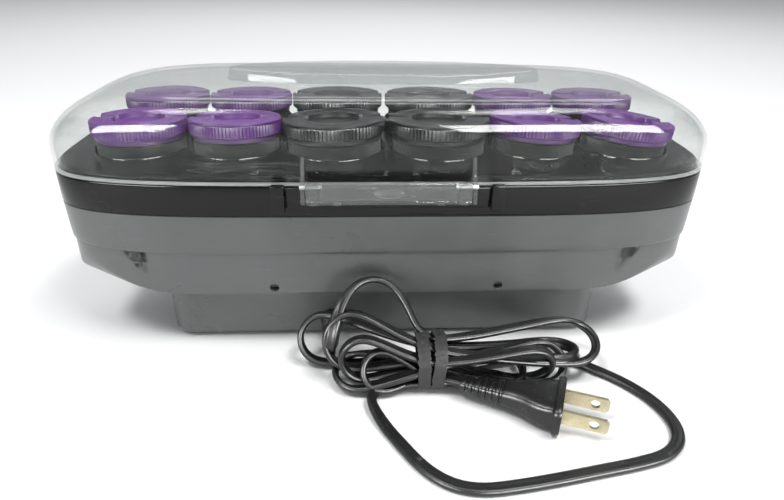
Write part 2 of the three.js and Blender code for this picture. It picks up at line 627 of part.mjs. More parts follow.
function tieRing() {
  const y0 = HANK.y - HANK.r - 0.4;
  const y1 = HANK.y + HANK.r + 0.4;
  const z0 = HANK.z0 - 0.4;
  const z1 = HANK.z1 + 0.4;
  const outer = box(TIE.x0, TIE.x1, y0 - TIE.wall, y1 + TIE.wall, z0 - TIE.wall, z1 + TIE.wall);
  return cut(outer, box(TIE.x0 - 1, TIE.x1 + 1, y0, y1, z0, z1));
}
place('cord_tie', tieRing(), rubber);

// plug: local X runs out of the flange face along the blades
const plug = new THREE.Group();
plug.position.set(PLUG.x, PLUG.y, PLUG.z);
plug.rotation.z = THREE.MathUtils.degToRad(PLUG.turn);
set.add(plug);
const BLADE = { long: 17.8, wide: 6.35, thick: 1.5, pitch: 12.7, hole: 2, root: 6 };

function plugBody() {
  const plan = new THREE.Shape();
  plan.moveTo(0, -12.6);
  plan.lineTo(0, 12.6);
  plan.lineTo(-3, 12.6);
  plan.lineTo(-3.4, 10.4);
  plan.quadraticCurveTo(-12, 10.2, -17, 7.4);
  plan.quadraticCurveTo(-21, 6, -24, 6);
  plan.lineTo(-42, 4.2);
  plan.lineTo(-42, -4.2);
  plan.lineTo(-24, -6);
  plan.quadraticCurveTo(-21, -6, -17, -7.4);
  plan.quadraticCurveTo(-12, -10.2, -3.4, -10.4);
  plan.lineTo(-3, -12.6);
  const side = new THREE.Shape();
  side.moveTo(1, -6.9);
  side.lineTo(1, 6.9);
  side.lineTo(-3, 6.9);
  side.lineTo(-3.4, 6);
  side.lineTo(-18, 5.2);
  side.lineTo(-43, 2.8);
  side.lineTo(-43, -2.8);
  side.lineTo(-18, -5.2);
  side.lineTo(-3.4, -6);
  side.lineTo(-3, -6.9);
  let body = common(slab(plan, -20, 20), alongY(side, -20, 20));
  for (const y of [-BLADE.pitch / 2, BLADE.pitch / 2]) {
    const t = BLADE.thick / 2 + GAP;
    const w = BLADE.wide / 2 + GAP;
    body = cut(body, box(-BLADE.root, 1, y - t, y + t, -w, w));
  }
  return body;
}
place('plug_body', plugBody(), rubber, plug);

for (const [name, y] of [['near', -BLADE.pitch / 2], ['far', BLADE.pitch / 2]]) {
  const half = BLADE.thick / 2;
  const plate = box(-BLADE.root + GAP, BLADE.long, y - half, y + half, -BLADE.wide / 2, BLADE.wide / 2);
  const hole = rod(BLADE.hole, -3, 3, 14).rotateX(Math.PI / 2);
  const pierced = cut(plate, toSolid(hole.translate(BLADE.long - 5.4, y, 0)));
  place(`plug_blade_${name}`, pierced, blade, plug);
}

// ---------- origin under the middle of the case ----------
const CORD_PIECES = /^(cord_|plug_)/;
set.updateMatrixWorld(true);
const caseBox = new THREE.Box3();
set.traverse((o) => {
  if (o.isMesh && !CORD_PIECES.test(o.name)) caseBox.expandByObject(o, true);
});
const middle = caseBox.getCenter(new THREE.Vector3());
set.position.set(-middle.x, -middle.y, -caseBox.min.z);

export default set;
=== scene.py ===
import bpy
import bmesh
import json
import math
import random
import numpy as np
from mathutils import Matrix, Vector


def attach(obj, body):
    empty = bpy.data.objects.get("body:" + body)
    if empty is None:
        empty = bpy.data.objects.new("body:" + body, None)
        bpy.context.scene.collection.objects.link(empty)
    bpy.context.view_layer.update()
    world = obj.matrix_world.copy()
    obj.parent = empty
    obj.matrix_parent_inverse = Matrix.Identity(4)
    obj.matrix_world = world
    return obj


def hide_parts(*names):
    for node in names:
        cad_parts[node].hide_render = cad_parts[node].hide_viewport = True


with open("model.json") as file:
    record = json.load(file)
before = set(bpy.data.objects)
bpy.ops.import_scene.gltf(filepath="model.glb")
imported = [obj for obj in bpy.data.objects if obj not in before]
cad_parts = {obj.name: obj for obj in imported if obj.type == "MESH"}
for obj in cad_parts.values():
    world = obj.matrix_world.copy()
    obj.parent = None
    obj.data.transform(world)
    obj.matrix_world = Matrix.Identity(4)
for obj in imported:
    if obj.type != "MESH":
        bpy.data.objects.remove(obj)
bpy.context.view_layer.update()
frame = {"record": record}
MM = 0.001
SHIFT_Y = -0.2  # the case's middle stands over the origin, in mm

# ---------- camera ----------
STAND = Vector((-11.4, -281.1 + SHIFT_Y, 174.2)) * MM
PITCH, YAW, ROLL = (math.radians(a) for a in (27.62, 3.24, 1.0))


def set_camera():
    ahead = Vector((math.sin(YAW) * math.cos(PITCH), math.cos(YAW) * math.cos(PITCH), -math.sin(PITCH)))
    right = Vector((math.cos(YAW), -math.sin(YAW), 0))
    up = right.cross(ahead)
    side = right * math.cos(ROLL) + up * math.sin(ROLL)
    top = up * math.cos(ROLL) - right * math.sin(ROLL)
    data = bpy.data.cameras.new("camera")
    data.sensor_width = 36
    data.lens = 27.55
    data.clip_start = 0.01
    camera = bpy.data.objects.new("camera", data)
    bpy.context.collection.objects.link(camera)
    turn = Matrix((side, top, -ahead)).transposed().to_4x4()
    camera.matrix_world = Matrix.Translation(STAND) @ turn
    bpy.context.scene.camera = camera


set_camera()


# ---------- finishes ----------
class Signal:
    """An output socket that can be added, taken away, multiplied and compared."""

    def __init__(self, finish, socket):
        self.finish = finish
        self.socket = socket

    def _maths(self, kind, a, b):
        return self.finish.node("ShaderNodeMath", {"operation": kind}, {0: a, 1: b})

    def __add__(self, other):
        return self._maths("ADD", self, other)

    def __sub__(self, other):
        return self._maths("SUBTRACT", self, other)

    def __rsub__(self, other):
        return self._maths("SUBTRACT", other, self)

    def __mul__(self, other):
        return self._maths("MULTIPLY", self, other)

    __radd__ = __add__
    __rmul__ = __mul__


class Finish:
    """One material, built from nodes on Object coordinates."""

    def __init__(self, name):
        self.material = bpy.data.materials.new(name)
        self.material.use_nodes = True
        self.tree = self.material.node_tree
        self.tree.nodes.clear()
        self.place = self.node("ShaderNodeTexCoord", out="Object")

    def node(self, kind, settings=None, sockets=None, out=0):
        made = self.tree.nodes.new(kind)
        for key, value in (settings or {}).items():
            setattr(made, key, value)
        for key, value in (sockets or {}).items():
            if isinstance(value, Signal):
                self.tree.links.new(value.socket, made.inputs[key])
            else:
                made.inputs[key].default_value = value
        return Signal(self, made.outputs[out])

    def noise(self, scale, detail=3, roughness=0.55, place=None):
        return self.node("ShaderNodeTexNoise", None, {
            "Vector": place or self.place, "Scale": scale, "Detail": detail, "Roughness": roughness})

    def stretch(self, x, y, z, turn=(0, 0, 0)):
        return self.node("ShaderNodeMapping", None, {
            "Vector": self.place, "Scale": (x, y, z), "Rotation": turn})

    def between(self, value, low, high, at_low=0.0, at_high=1.0):
        return self.node("ShaderNodeMapRange", None, {
            "Value": value, "From Min": low, "From Max": high, "To Min": at_low, "To Max": at_high})

    def tint(self, share, first, second):
        return self.node("ShaderNodeMix", {"data_type": "RGBA"}, {0: share, 6: first, 7: second}, out=2)

    def specks(self, scale, size, keep=0.5):
        """Small round grains, only where a slow noise lets them lie."""
        cell = self.node("ShaderNodeTexVoronoi", None, {"Vector": self.place, "Scale": scale})
        return self.between(cell, size, size * 0.4) * self.between(self.noise(scale * 0.13), keep, keep + 0.04)

    def hairlines(self, scale, turn, keep=0.62):
        """Long fine scratches that run one way."""
        lane = self.noise(scale, 2, 0.5, self.stretch(1, 14, 14, turn))
        fine = self.between(lane, keep, keep + 0.02) * self.between(lane, keep + 0.05, keep + 0.03)
        return fine * self.between(self.noise(38, 2), 0.5, 0.6)

    def bump(self, height, depth, strength=1.0):
        return self.node("ShaderNodeBump", None, {"Height": height, "Distance": depth, "Strength": strength})

    def shader(self, colour, rough, bump=None, metallic=0.0, **fixed):
        sockets = {"Base Color": colour, "Roughness": rough, "Metallic": metallic}
        if bump:
            sockets["Normal"] = bump
        sockets.update({key.replace("_", " ").title().replace("Ior", "IOR"): v for key, v in fixed.items()})
        return self.node("ShaderNodeBsdfPrincipled", None, sockets)

    def done(self, shader):
        self.node_output = self.tree.nodes.new("ShaderNodeOutputMaterial")
        self.tree.links.new(shader.socket, self.node_output.inputs["Surface"])
        return self.material


def plain(colour):
    return (*colour, 1.0)


def moulded(name, colour, rough, grain=1400, wear=0.5, dust=0.35, **fixed):
    """Injection-moulded plastic: faint flow, fine grain, scuffs, dust and rubbed patches."""
    f = Finish(name)
    cloud = f.noise(14, 4)
    shade = f.tint(f.between(cloud, 0.3, 0.7), plain([c * 0.86 for c in colour]), plain([c * 1.1 for c in colour]))
    lines = f.hairlines(26, (0.2, 0.1, 0.5)) + f.hairlines(31, (0.1, 0.3, -0.9))
    marks = lines * wear
    grit = f.specks(900, 0.16, 0.56) * dust
    pale = [0.25 + 0.6 * c for c in colour]
    colours = f.tint(marks * 0.5 + grit, shade, plain(pale))
    smudge = f.between(f.noise(55, 5, 0.62), 0.42, 0.66)
    roughness = f.between(cloud, 0.3, 0.7, rough * 0.85, rough * 1.12) + smudge * 0.05 + grit * 0.4 + marks * 0.12
    height = f.noise(grain, 2) * 0.3 + f.noise(150, 2) * 0.5 + grit - marks
    return f.done(f.shader(colours, roughness, f.bump(height, 0.00004), **fixed))


def clear_plastic(name, haze, tint, body=(0.55, 0.56, 0.55), rough=0.03, texture=0.0):
    """Clear polystyrene: sees through, mirrors at the edges, a little haze, dust and scratches."""
    f = Finish(name)
    facing = f.node("ShaderNodeLayerWeight", None, {"Blend": 0.5}, out="Facing")
    edge = f.node("ShaderNodeMath", {"operation": "POWER"}, {0: facing, 1: 4.6}) * 0.8 + 0.014
    film = f.between(f.noise(24, 5, 0.6), 0.35, 0.75) * 0.012
    lines = f.hairlines(30, (0.1, 0, 0.4), 0.6) + f.hairlines(22, (0, 0.2, -0.6), 0.6)
    grit = f.specks(620, 0.14, 0.58)
    height = f.noise(420, 2) * texture + lines * 0.3 + f.noise(9, 2) * 1.5
    rub = f.between(f.noise(60, 4), 0.4, 0.7, rough, rough + 0.05) + lines * 0.2 + texture * 0.25
    bump = f.bump(height, 0.00002)
    mirror = f.shader(plain((0.95, 0.95, 0.95)), rub, bump, metallic=1.0)
    skin = f.shader(f.tint(grit + lines * 0.5, plain(body), plain((0.7, 0.7, 0.68))), rub, bump)
    through = f.node("ShaderNodeBsdfTransparent", None, {"Color": plain(tint)})
    clean = f.node("ShaderNodeMixShader", None, {0: edge, 1: through, 2: mirror})
    return f.done(f.node("ShaderNodeMixShader", None, {0: film + haze + lines * 0.1 + grit * 0.35, 1: clean, 2: skin}))


def flocked(name):
    """Velvet flock: short fibres, nearly black green, with pale lint caught in it."""
    f = Finish(name)
    nap = f.noise(2600, 3, 0.7)
    patch = f.noise(170, 4)
    lint = f.specks(1500, 0.2, 0.52) + f.hairlines(300, (0.4, 1.2, 0.3), 0.57)
    pile = f.tint(f.between(nap * 0.6 + patch * 0.4, 0.35, 0.65), plain((0.004, 0.006, 0.004)), plain((0.032, 0.042, 0.03)))
    colours = f.tint(lint * 0.7, pile, plain((0.32, 0.33, 0.29)))
    return f.done(f.shader(
        colours, f.between(nap, 0.3, 0.7, 0.82, 1.0), f.bump(nap + patch * 0.6, 0.0005),
        sheen_weight=0.35, sheen_roughness=0.4, specular_ior_level=0.15))


def sheathing(name, colour=(0.012, 0.012, 0.0125), rough=0.4):
    """Soft vinyl of a flex: fine drawn lines, scuffs and lint."""
    f = Finish(name)
    flow = f.noise(90, 4, 0.6)
    lint = f.specks(800, 0.15, 0.57)
    scuff = f.between(f.noise(210, 5, 0.65), 0.62, 0.74)
    colours = f.tint(lint * 0.6 + scuff * 0.14, plain(colour), plain((0.4, 0.4, 0.38)))
    roughness = f.between(flow, 0.3, 0.7, rough * 0.8, rough * 1.2) + scuff * 0.2
    return f.done(f.shader(colours, roughness, f.bump(f.noise(1700, 2) + flow, 0.00006)))


def metal(name, colour, rough, brush=(1, 30, 30), depth=0.00003):
    f = Finish(name)
    lines = f.noise(140, 3, 0.6, f.stretch(*brush))
    stain = f.between(f.noise(160, 4), 0.45, 0.7)
    colours = f.tint(stain, plain(colour), plain([c * 0.72 for c in colour]))
    roughness = f.between(lines, 0.3, 0.7, rough * 0.7, rough * 1.35) + stain * 0.1
    return f.done(f.shader(colours, roughness, f.bump(lines, depth), metallic=1.0))


def floor_finish():
    f = Finish("studio_floor")
    cloud = f.noise(1.2, 3)
    colours = f.tint(cloud, plain((0.78, 0.78, 0.78)), plain((0.8, 0.8, 0.8)))
    return f.done(f.shader(colours, f.between(cloud, 0.3, 0.7, 0.75, 0.85)))


GREY = moulded("case_grey_plastic", (0.115, 0.122, 0.12), 0.3, wear=0.14, dust=0.2, coat_weight=0.2, coat_roughness=0.12)
GLOSS = moulded("tray_black_gloss", (0.003, 0.003, 0.0034), 0.1, wear=0.1, dust=0.06, specular_ior_level=0.3)
CLEAR = clear_plastic("lid_clear_plastic", 0.004, (0.93, 0.94, 0.935))
CLEAR_BAR = clear_plastic("latch_clear_plastic", 0.12, (0.86, 0.875, 0.87), (0.5, 0.51, 0.5))
# pale, hazy finish for the bead on the lid's lower edge: a painted highlight, not the plastic's own colour
EDGE_PAINTED_HIGHLIGHT = clear_plastic("lid_edge_painted_highlight", 0.4, (0.9, 0.91, 0.905), (0.75, 0.76, 0.75), 0.15)
GRIP = clear_plastic("latch_grip_texture", 0.28, (0.74, 0.755, 0.75), (0.42, 0.43, 0.42), 0.16, 0.8)
CAP_BLACK = moulded("cap_black_plastic", (0.011, 0.012, 0.0125), 0.33, wear=0.1, dust=0.25, specular_ior_level=0.4)
CAP_PURPLE = moulded("cap_purple_plastic", (0.14, 0.03, 0.235), 0.34, wear=0.1, dust=0.2, specular_ior_level=0.4)
FLOCK = flocked("velvet_flock")
VINYL = sheathing("flex_vinyl", (0.006, 0.006, 0.0063), 0.33)
PLUG_VINYL = sheathing("plug_vinyl", (0.006, 0.006, 0.0063), 0.3)
PAPER = sheathing("tie_ribbon", (0.01, 0.01, 0.0105), 0.75)
RUBBER = sheathing("foot_rubber", (0.018, 0.018, 0.018), 0.7)
BRASS = metal("blade_nickel_brass", (0.62, 0.56, 0.38), 0.3)
STEEL = metal("pin_steel", (0.56, 0.57, 0.58), 0.28)
ALUMINIUM = metal("plate_aluminium", (0.6, 0.61, 0.62), 0.45, (1, 1, 1), 0.0001)
CERAMIC = moulded("terminal_cream", (0.55, 0.53, 0.45), 0.45)
RED = moulded("wire_red", (0.35, 0.03, 0.02), 0.4)

HIDDEN = {
    "heater_plate": ALUMINIUM, "heating_element": STEEL, "thermostat": STEEL, "terminal_block": CERAMIC,
    "heater_wire_live": RED, "heater_wire_neutral": CERAMIC, "supply_tail": VINYL,
    "hinge_pin_left": STEEL, "hinge_pin_right": STEEL, "latch_pin_left": STEEL, "latch_pin_right": STEEL,
}
HIDDEN.update({f"case_screw_{i}": STEEL for i in range(1, 5)})
HIDDEN.update({f"foot_{i}": RUBBER for i in range(1, 5)})
for node_name, finish in HIDDEN.items():
    bpy.data.objects[node_name].data.materials.clear()
    bpy.data.objects[node_name].data.materials.append(finish)


# ---------- making pieces ----------
def piece(name, bm, finish, body, replaced=(), smooth=30, clean=True):
    """Turns a bmesh in millimetres into an object in metres that rides on a body."""
    if clean:
        bmesh.ops.remove_doubles(bm, verts=bm.verts, dist=0.004)
        bmesh.ops.recalc_face_normals(bm, faces=bm.faces)
    bmesh.ops.scale(bm, vec=(MM, MM, MM), verts=bm.verts)
    mesh = bpy.data.meshes.new(name)
    bm.to_mesh(mesh)
    bm.free()
    for one in finish if isinstance(finish, list) else [finish]:
        mesh.materials.append(one)
    mesh.shade_smooth()
    mesh.set_sharp_from_angle(angle=math.radians(smooth))
    made = bpy.data.objects.new(name, mesh)
    bpy.context.collection.objects.link(made)
    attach(made, body)
    if replaced:
        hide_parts(*replaced)
    return made


def move(bm, x=0, y=0, z=0, verts=None):
    bmesh.ops.translate(bm, vec=(x, y, z), verts=verts or bm.verts)


def turned(bm, profile, sides, matrix=None):
    """Spins a profile of (radius, height) round Z; returns its vertices."""
    before = set(bm.verts)
    first = [bm.verts.new((r, 0, z)) for r, z in profile]
    edges = [bm.edges.new(pair) for pair in zip(first, first[1:])]
    bmesh.ops.spin(bm, geom=first + edges, cent=(0, 0, 0), axis=(0, 0, 1), angle=2 * math.pi,
                   steps=sides, use_merge=True)
    bmesh.ops.remove_doubles(bm, verts=[v for v in bm.verts if v not in before], dist=0.002)
    verts = [v for v in bm.verts if v not in before]
    if matrix:
        bmesh.ops.transform(bm, matrix=matrix, verts=verts)
    return verts


def lofted(bm, sides, levels, spot):
    """A spun tube whose vertices go to spot(angle, level), with both ends filled."""
    verts = turned(bm, [(10, 5 * level) for level in range(levels)], sides)
    for v in verts:
        v.co = spot(math.atan2(v.co.y, v.co.x), round(v.co.z / 5))
    rims = [e for e in {e for v in verts for e in v.link_edges} if e.is_boundary]
    bmesh.ops.holes_fill(bm, edges=rims)
    return verts


def block(bm, x0, x1, y0, y1, z0, z1, bevel=0.5, steps=3):
    """A box with all its edges rounded."""
    verts = bmesh.ops.create_cube(bm, size=1)["verts"]
    bmesh.ops.scale(bm, vec=(x1 - x0, y1 - y0, z1 - z0), verts=verts)
    move(bm, (x0 + x1) / 2, (y0 + y1) / 2, (z0 + z1) / 2, verts)
    edges = list({e for v in verts for e in v.link_edges})
    bmesh.ops.bevel(bm, geom=edges, offset=bevel, segments=steps, profile=0.5, affect="EDGES", material=-1)


def drawn(bm, outline, x0, x1, bevel=0.4):
    """An outline of (y, z) drawn along X, with rounded edges."""
    ring = [bm.verts.new((x0, y, z)) for y, z in outline]
    face = bm.faces.new(ring)
    grown = bmesh.ops.extrude_face_region(bm, geom=[face])["geom"]
    far = [v for v in grown if isinstance(v, bmesh.types.BMVert)]
    move(bm, x1 - x0, verts=far)
    edges = list({e for v in ring + far for e in v.link_edges})
    bmesh.ops.bevel(bm, geom=edges, offset=bevel, segments=3, profile=0.5, affect="EDGES", material=-1)


def along_x(x, y, z):
    return Matrix.Translation((x, y, z)) @ Matrix.Rotation(math.pi / 2, 4, "Y")


def squircle(a, b, power, t):
    """A point of a superellipse with half sizes a and b."""
    c, s = math.cos(t), math.sin(t)
    return (a * math.copysign(abs(c) ** (2 / power), c), b * math.copysign(abs(s) ** (2 / power), s))


# ---------- cord ----------
CORD_W = 5.3
CORD_H = 2.8
RELIEF_TIP = (-26, -60, 10)
TIE_X = 18
# where the flex passes the tie, as (y, z), in the order that it is wound
STRANDS = [(-67.5, 18.6), (-74, 18.2), (-73.5, 11.4), (-67.5, 15), (-67.5, 4.2), (-79.7, 11.5), (-67.5, 8), (-73.5, 7.8),
           (-79.7, 15.2), (-79.7, 4.4), (-73.5, 4.2), (-79.7, 8)]
SPARE = 10  # strands before the loose loop


def fold(side, end, y, z, r, lean):
    """Points round one end of the hank, from its upper run to its lower one."""
    points = []
    for i in range(9):
        a = math.pi * (0.5 - i / 8)
        across, up = math.cos(math.radians(lean)), math.sin(math.radians(lean))
        points.append((end - side * r * (1 - math.cos(a)), y + r * across * math.sin(a), z + r * up * math.sin(a)))
    return points


def cord_route():
    lead = [(-26, -60.3, 10), (-26, -64.3, 10), (-26, -68.9, 11.8), (-25.5, -71.7, 17), (-24, -69, 25),
            (-19.5, -60, 34), (-13, -53, 38.6), (-4, -51.6, 39.6), (3.5, -54, 36), (8.5, -59.5, 29.5), (12.5, -65, 22.5)]
    folds = [
        fold(1, 94, -64, 13.5, 12.5, 15),
        fold(-1, -28, -69, 19, 12.5, 70),
        fold(1, 85, -66, 9.5, 10.5, 165),
        fold(-1, -40, -57, 12, 11, 60),
        fold(1, 78, -72, 8, 9.5, 215),
        fold(-1, -24, -72, 4.8, 10.5, 190),
        fold(1, 60, -72, 4.8, 9.5, 10),
        fold(-1, -21, -76, 14.5, 10, 262),
        fold(1, 71, -77, 11, 9, 100),
    ]
    points = list(lead)
    for strand, (y, z) in enumerate(STRANDS[:SPARE]):
        points.append((TIE_X, y, z))
        if strand < len(folds):
            points += folds[strand]
    points += [(6, -79.6, 3.6), (-4, -81.5, 2.2), (-8.5, -86, 1.6), (-7, -93, 1.6), (-3, -102, 1.6)]
    points += [(x, y, 1.6) for x, y in [
        (4, -114), (11.5, -125), (20, -132), (30, -134.6), (41, -133.8), (57, -131.3), (74, -128), (92, -124.4),
        (104.5, -120.4), (112, -113), (114, -103.5), (111, -91), (103, -79), (94, -70.5)]]
    points += [(84, -64, 2.4), (72, -62, 3), (56, -62.5, 3), (38, -66.5, 2.8), (28, -70, 3.2)]
    points.append((TIE_X, *STRANDS[SPARE]))
    points += fold(-1, -12, -78.5, 10, 8.8, 235)
    points += [(TIE_X, *STRANDS[SPARE + 1]), (24, -81.4, 7.7), (31, -84, 7.4)]
    return [(x, y + SHIFT_Y, z) for x, y, z in points]


def smooth_route(points, step):
    """A centripetal spline through the points, sampled evenly and relaxed a little."""
    p = np.array([points[0], *points, points[-1]], float)
    p[0] = 2 * p[1] - p[2]
    p[-1] = 2 * p[-2] - p[-3]
    fine = []
    for a, b, c, d in zip(p, p[1:], p[2:], p[3:]):
        knots = np.cumsum([0, *(np.linalg.norm(n - m) ** 0.5 for m, n in ((a, b), (b, c), (c, d)))])
        t0, t1, t2, t3 = knots
        for t in np.linspace(t1, t2, 24, endpoint=False):
            ab = (t1 - t) / (t1 - t0) * a + (t - t0) / (t1 - t0) * b
            bc = (t2 - t) / (t2 - t1) * b + (t - t1) / (t2 - t1) * c
            cd = (t3 - t) / (t3 - t2) * c + (t - t2) / (t3 - t2) * d
            abc = (t2 - t) / (t2 - t0) * ab + (t - t0) / (t2 - t0) * bc
            bcd = (t3 - t) / (t3 - t1) * bc + (t - t1) / (t3 - t1) * cd
            fine.append((t2 - t) / (t2 - t1) * abc + (t - t1) / (t2 - t1) * bcd)
    fine = np.array([*fine, points[-1]])
    run = np.concatenate([[0], np.cumsum(np.linalg.norm(np.diff(fine, axis=0), axis=1))])
    even = np.linspace(0, run[-1], int(run[-1] / step))
    line = np.stack([np.interp(even, run, fine[:, k]) for k in range(3)], axis=1)
    for _ in range(6):
        line[1:-1] = line[1:-1] * 0.5 + (line[:-2] + line[2:]) * 0.25
    line[:, 2] = np.maximum(line[:, 2], CORD_H / 2 + 0.1)
    return line


def flex_frames(line, reach=9):
    """The flat cord's thin way at each point: along the bend where it bends, upwards where it doesn't."""
    along = np.gradient(line, axis=0)
    along /= np.linalg.norm(along, axis=1)[:, None]
    bend = np.gradient(along, axis=0)
    pull = bend[:, :, None] * bend[:, None, :] + 0.011 * np.diag([0.02, 0.1, 1.0])
    soft = np.copy(pull)
    for k in range(1, reach):
        soft[k:] += pull[:-k]
        soft[:-k] += pull[k:]
    thin = []
    for direction, spread in zip(along, soft):
        flat = np.eye(3) - np.outer(direction, direction)
        _, vectors = np.linalg.eigh(flat @ spread @ flat)
        n = vectors[:, 2]
        if thin and n @ thin[-1] < 0:
            n = -n
        thin.append(n)
    thin = np.array(thin)
    for _ in range(8):
        thin[1:-1] = thin[1:-1] * 0.5 + (thin[:-2] + thin[2:]) * 0.25
        thin -= (thin * along).sum(axis=1)[:, None] * along
        thin /= np.linalg.norm(thin, axis=1)[:, None]
    return along, thin


def make_cord():
    line = smooth_route(cord_route(), 1.9)
    along, thin = flex_frames(line)
    wide = np.cross(along, thin)
    floor = 0.1 + abs(wide[:, 2]) * CORD_W / 2 + abs(thin[:, 2]) * CORD_H / 2
    line[:, 2] = np.maximum(line[:, 2], floor)
    half = []
    for i in range(9):
        a = math.radians(-128 + 32 * i)
        half.append((1.25 + 1.4 * math.cos(a), 1.4 * math.sin(a)))
    section = half + [(-x, -y) for x, y in half]
    bm = bmesh.new()
    loop = [bm.verts.new(line[0] + wide[0] * x + thin[0] * y) for x, y in section]
    first = list(loop)
    for spot, w, n in zip(line[1:], wide[1:], thin[1:]):
        ring = [bm.verts.new(spot + w * x + n * y) for x, y in section]
        for i, v in enumerate(loop):
            bm.faces.new((v, loop[i - 1], ring[i - 1], ring[i]))
        loop = ring
    bm.faces.new(first)
    bm.faces.new(loop)
    cord = piece("mains_cord", bm, VINYL, "case", ("cord_lead", "cord_hank", "cord_loop"), 50)
    return cord, line * MM


cord, cord_line = make_cord()


# ---------- plug ----------
PLUG = Matrix.Translation((69, -99.6 + SHIFT_Y, 7.4)) @ Matrix.Rotation(math.radians(-22), 4, "Z")
# along the plug from its face: (distance, half width, half height, roundness)
PLUG_RINGS = [
    (0, 11.6, 6.1, 5), (0, 12.3, 6.7, 5), (-0.5, 12.6, 6.95, 5), (-2.6, 12.6, 6.95, 5), (-3.1, 12.3, 6.7, 5),
    (-3.2, 10.9, 6.1, 5), (-3.8, 10.4, 5.95, 5), (-7, 10.3, 5.85, 4.5), (-10.5, 9.6, 5.7, 4), (-14, 8.1, 5.4, 3.6),
    (-17, 6.9, 5.1, 3.2), (-20, 6.2, 4.8, 3), (-23, 5.8, 4.5, 3)]


def make_plug():
    rings = list(PLUG_RINGS)
    for i in range(6):
        x = -24 - i * 2.9
        w, h = 5.6 - i * 0.34, 4.2 - i * 0.3
        rings += [(x, w, h, 2.8), (x - 0.25, w - 0.75, h - 0.7, 2.8), (x - 1, w - 0.8, h - 0.75, 2.8),
                  (x - 1.25, w - 0.1, h - 0.05, 2.8), (x - 1.9, w, h, 2.8)]
    rings += [(-42, 3.4, 2.3, 2.6)]

    def spot(t, level):
        x, w, h, power = rings[level]
        y, z = squircle(w, h, power, t)
        return (x, y, z)

    bm = bmesh.new()
    lofted(bm, 64, len(rings), spot)
    bmesh.ops.transform(bm, matrix=PLUG, verts=bm.verts)
    return piece("plug_moulding", bm, PLUG_VINYL, "case", ("plug_body",), 40)


def make_blade(name, y, node):
    """A flat blade with a rounded tip and a detent hole."""
    bm = bmesh.new()
    half = 3.17
    hole = (12.4, 2.0)
    before = set(bm.verts)
    bmesh.ops.create_circle(bm, segments=40, radius=hole[1])
    inner = [v for v in bm.verts if v not in before]
    before = set(bm.verts)
    bmesh.ops.create_circle(bm, segments=40, radius=1)
    outer = [v for v in bm.verts if v not in before]
    for v in outer:
        t = math.atan2(v.co.y, v.co.x)
        reach = min(half / max(abs(math.sin(t)), 1e-6), (5.4 if math.cos(t) > 0 else 18) / max(abs(math.cos(t)), 1e-6))
        x, z = reach * math.cos(t), reach * math.sin(t)
        z = max(-half, min(half, z)) * (1 - 0.3 * max(0, (x - 4.2) / 1.2) ** 2)
        v.co = (x, z, 0)
    edges = [e for e in bm.edges]
    bmesh.ops.bridge_loops(bm, edges=edges)
    bmesh.ops.recalc_face_normals(bm, faces=bm.faces)
    grown = bmesh.ops.extrude_face_region(bm, geom=list(bm.faces))["geom"]
    move(bm, z=1.5, verts=[v for v in grown if isinstance(v, bmesh.types.BMVert)])
    bmesh.ops.transform(bm, matrix=Matrix.Translation((hole[0], y + 0.75, 0)) @ Matrix.Rotation(math.pi / 2, 4, "X"),
                        verts=bm.verts)
    del inner
    bmesh.ops.transform(bm, matrix=PLUG, verts=bm.verts)
    return piece(name, bm, BRASS, "case", (node,), 35)


plug = make_plug()
blades = [make_blade("plug_blade_front", -6.35, "plug_blade_near"), make_blade("plug_blade_back", 6.35, "plug_blade_far")]


# ---------- strain relief and tie ----------
def make_relief():
    profile = [(0, 5), (5.2, 5), (5.4, 4.8), (5.4, 2.6), (3.9, 2.6), (3.9, -0.3), (5.4, -0.3), (5.4, -2.2), (4.9, -2.8)]
    for i in range(6):
        z = -3.6 - i * 2.9
        r = 4.6 - i * 0.2
        profile += [(r, z), (r - 0.7, z - 0.3), (r - 0.75, z - 1.1), (r - 0.05, z - 1.4), (r, z - 2)]
    profile += [(3.3, -21.4), (2.9, -22), (0, -22)]
    bm = bmesh.new()
    turned(bm, profile, 40, Matrix.Translation((-26, -38 + SHIFT_Y, 10)) @ Matrix.Rotation(-math.pi / 2, 4, "X"))
    return piece("flex_sleeve", bm, VINYL, "case", ("cord_strain_relief",), 40)


def make_tie():
    """A flat paper-covered wire wound twice round the hank, crinkled."""
    rng = random.Random(4)
    bm = bmesh.new()
    for wrap, x in enumerate((14.6, 20.6)):
        before = set(bm.verts)
        profile = [(1, 0), (1.0, 0.12), (1.0, 0.24), (1.0, 0.36), (1.0, 0.48), (1.0, 0.6)]
        verts = turned(bm, [(10 * r, 50 * z) for r, z in profile], 72)
        jitter = [rng.uniform(-0.35, 0.35) for _ in range(73)]
        for v in verts:
            t = math.atan2(v.co.y, v.co.x)
            k = jitter[int((t + math.pi) / (2 * math.pi) * 72)]
            lane = v.co.z / 30
            y, z = squircle(10.2 + k * 0.5 + wrap * 0.2, 10.6 + k * 0.5 + wrap * 0.2, 2.8, t)
            v.co = (x - 2.6 + 5.2 * lane + 1.1 * math.sin(t) * (1 if wrap else -0.6) + k,
                    -73.5 + SHIFT_Y + y, max(11.7 + z + 0.3 * math.cos(lane * 9 + k * 6), 0.5))
        bmesh.ops.recalc_face_normals(bm, faces=[f for f in bm.faces if f.verts[0] not in before])
    bmesh.ops.solidify(bm, geom=list(bm.faces), thickness=0.5)
    return piece("twist_tie", bm, PAPER, "case", ("cord_tie",), 40)


sleeve = make_relief()
tie = make_tie()
length = float(np.linalg.norm(np.diff(cord_line, axis=0), axis=1).sum())
print("cord length", round(length, 3))


